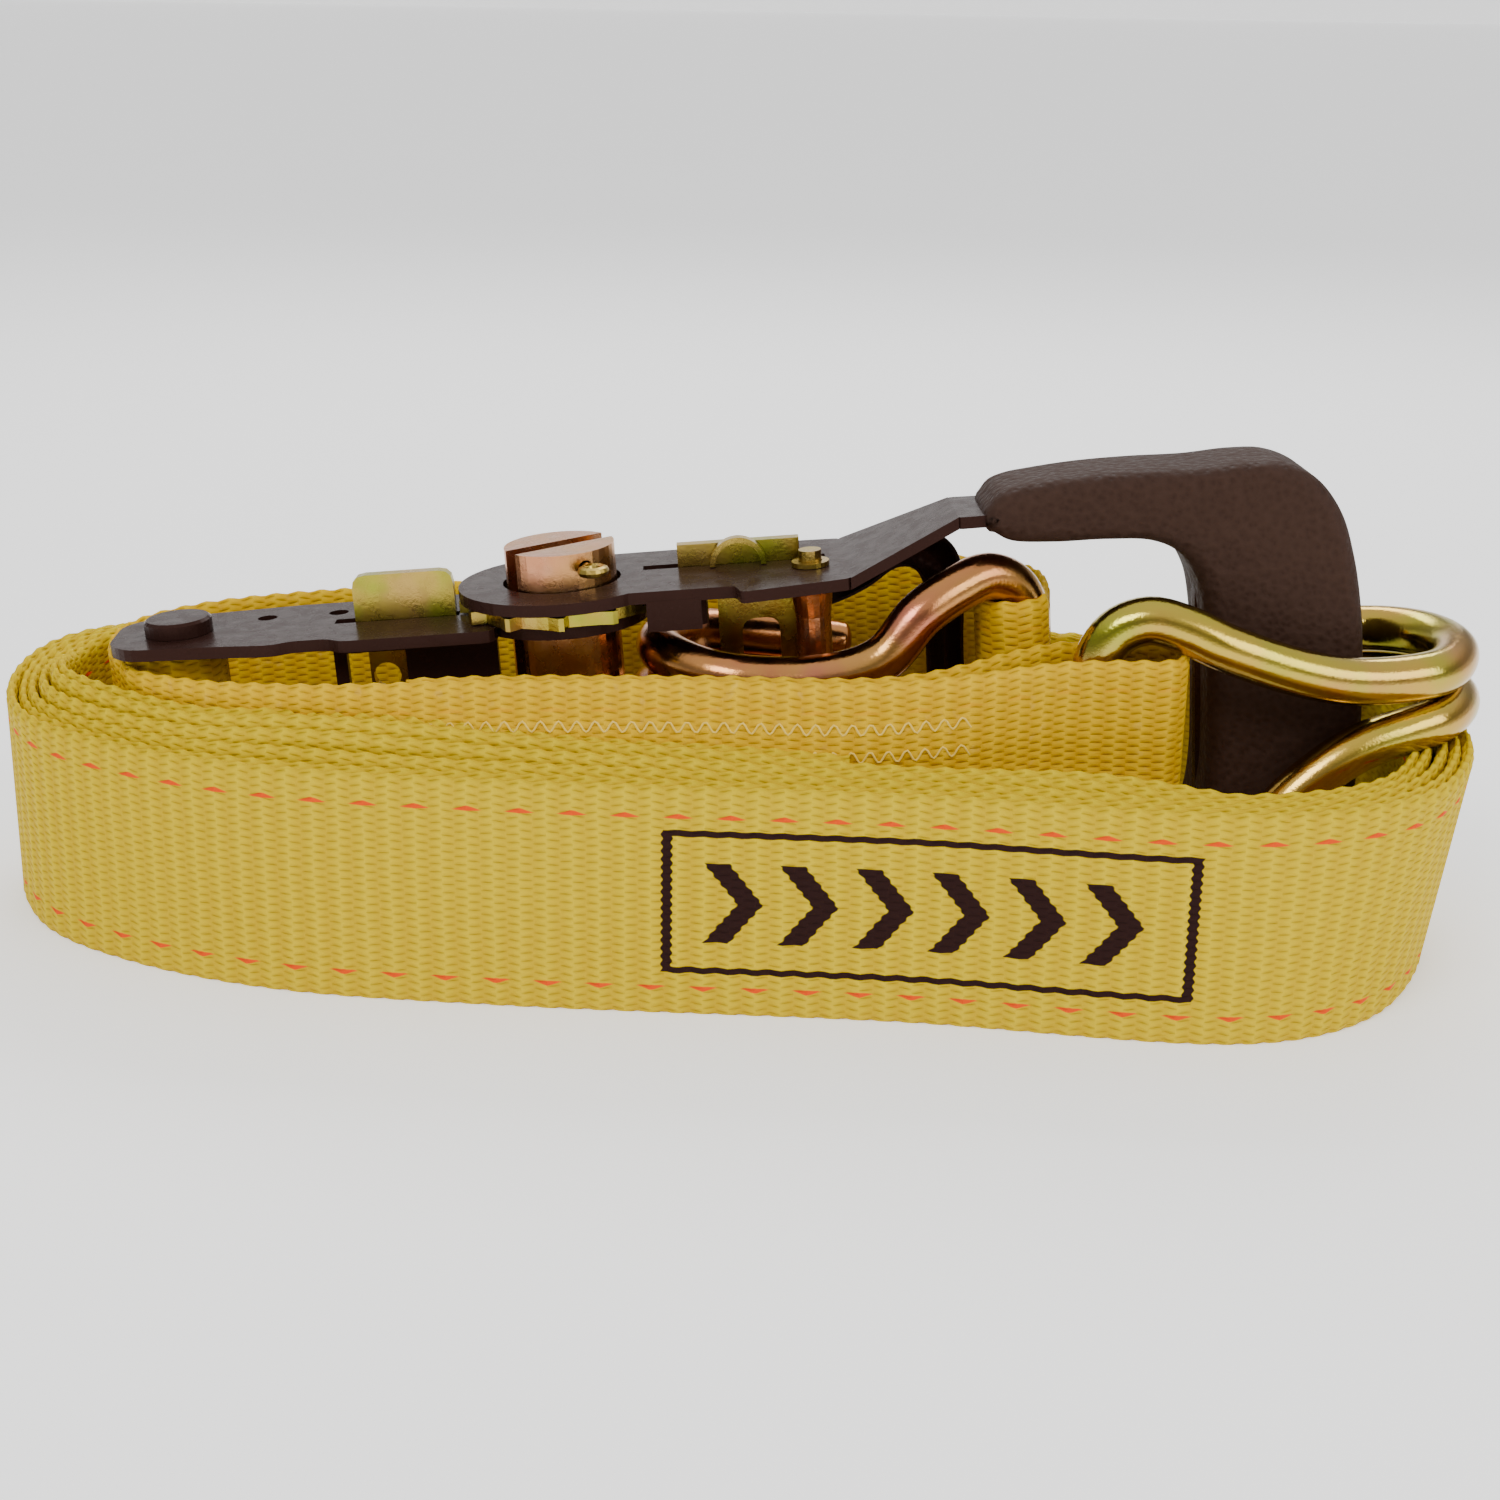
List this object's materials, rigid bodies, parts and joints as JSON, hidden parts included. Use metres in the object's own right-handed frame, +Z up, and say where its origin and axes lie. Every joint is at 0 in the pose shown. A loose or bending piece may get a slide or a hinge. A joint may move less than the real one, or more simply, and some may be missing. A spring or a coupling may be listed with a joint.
{
  "type": "ratchet strap",
  "caption": "Ratchet tie-down strap wound up for storage: flat yellow webbing coiled round its ratchet buckle, with the handle folded out and wire hooks tucked into the bundle.",
  "frame": {"origin": "on the ground under the middle of the bundle", "axes": "+X from the buckle's bolt end to its grip, +Y from the printed front to the back, +Z up along the width of the webbing"},
  "size_m": [0.3317, 0.1235, 0.1095],
  "materials": {
    "webbing": "woven polyester, bright yellow with orange tracer dashes near both edges",
    "black_steel": "satin black with a brown cast",
    "gold_zinc": "yellow zinc plate with faint pink and green iridescence",
    "copper_zinc": "yellow zinc plate, coppery",
    "grip_plastic": "soft moulded plastic with a fine leather grain"
  },
  "bodies": {
    "bundle": {"strap_coil": "webbing", "strap_hook_end": "webbing", "short_strap": "webbing", "frame_plate_upper": "black_steel", "frame_plate_lower": "black_steel", "anchor_bolt": "black_steel", "anchor_sleeve": "black_steel", "anchor_nut": "black_steel", "frame_bridge": "black_steel", "frame_pawl_spring": "gold_zinc"},
    "handle": {"handle_plate_upper": "black_steel", "handle_plate_lower": "black_steel", "handle_bolt": "gold_zinc", "handle_sleeve": "copper_zinc", "handle_washer_upper": "gold_zinc", "handle_washer_lower": "gold_zinc", "pawl_guide_upper": "black_steel", "pawl_guide_lower": "black_steel", "grip_cover": "grip_plastic", "grip_core_bar": "black_steel", "pawl_spring_loop_upper": "gold_zinc", "pawl_spring_loop_lower": "gold_zinc"},
    "mandrel": {"mandrel_half_front": "copper_zinc", "mandrel_half_rear": "copper_zinc", "ratchet_wheel_upper": "gold_zinc", "ratchet_wheel_lower": "gold_zinc", "split_pin_upper": "gold_zinc", "split_pin_lower": "gold_zinc"},
    "locking_pawl": {"frame_pawl": "gold_zinc"},
    "driving_pawl": {"drive_pawl": "gold_zinc", "drive_pawl_pull": "black_steel"},
    "long_hook": {"hook_long_strap": "gold_zinc"},
    "short_hook": {"hook_short_strap": "copper_zinc"}
  },
  "joints": [
    {"name": "handle_swing", "type": "hinge", "parent": "bundle", "child": "handle", "pos_m": [-0.03665, -0.0008, 0.0459], "axis": [-0.0801, -0.0028, 0.9968], "range_deg": [-1, 1.15]},
    {"name": "mandrel_spin", "type": "hinge", "parent": "bundle", "child": "mandrel", "pos_m": [-0.03665, -0.0008, 0.0459], "axis": [-0.0801, -0.0028, 0.9968], "continuous": true},
    {"name": "locking_pawl_slide", "type": "slide", "parent": "bundle", "child": "locking_pawl", "axis": [-0.9962, -0.0348, -0.0802], "range_m": [0, 0.0036], "stiffness_N_per_m": 400, "springref_m": -0.004},
    {"name": "driving_pawl_slide", "type": "slide", "parent": "handle", "child": "driving_pawl", "axis": [0.9962, 0.0348, 0.0802], "range_m": [0, 0.0045], "stiffness_N_per_m": 400, "springref_m": -0.004},
    {"name": "long_hook_swing", "type": "hinge", "parent": "bundle", "child": "long_hook", "pos_m": [0.07825, -0.0179, 0.0443], "axis": [-0.1334, -0.0247, 0.9907], "range_deg": [-3.45, 3.96]},
    {"name": "short_hook_swing", "type": "hinge", "parent": "bundle", "child": "short_hook", "pos_m": [0.05975, -0.0003, 0.0496], "axis": [0.1361, 0.0289, 0.9903], "range_deg": [-1.31, 1.15]}
  ],
  "couplings": [
    {"joint": "long_hook_swing", "follows": "handle_swing", "ratio": 3.4},
    {"joint": "short_hook_swing", "follows": "handle_swing", "ratio": -1.1}
  ]
}
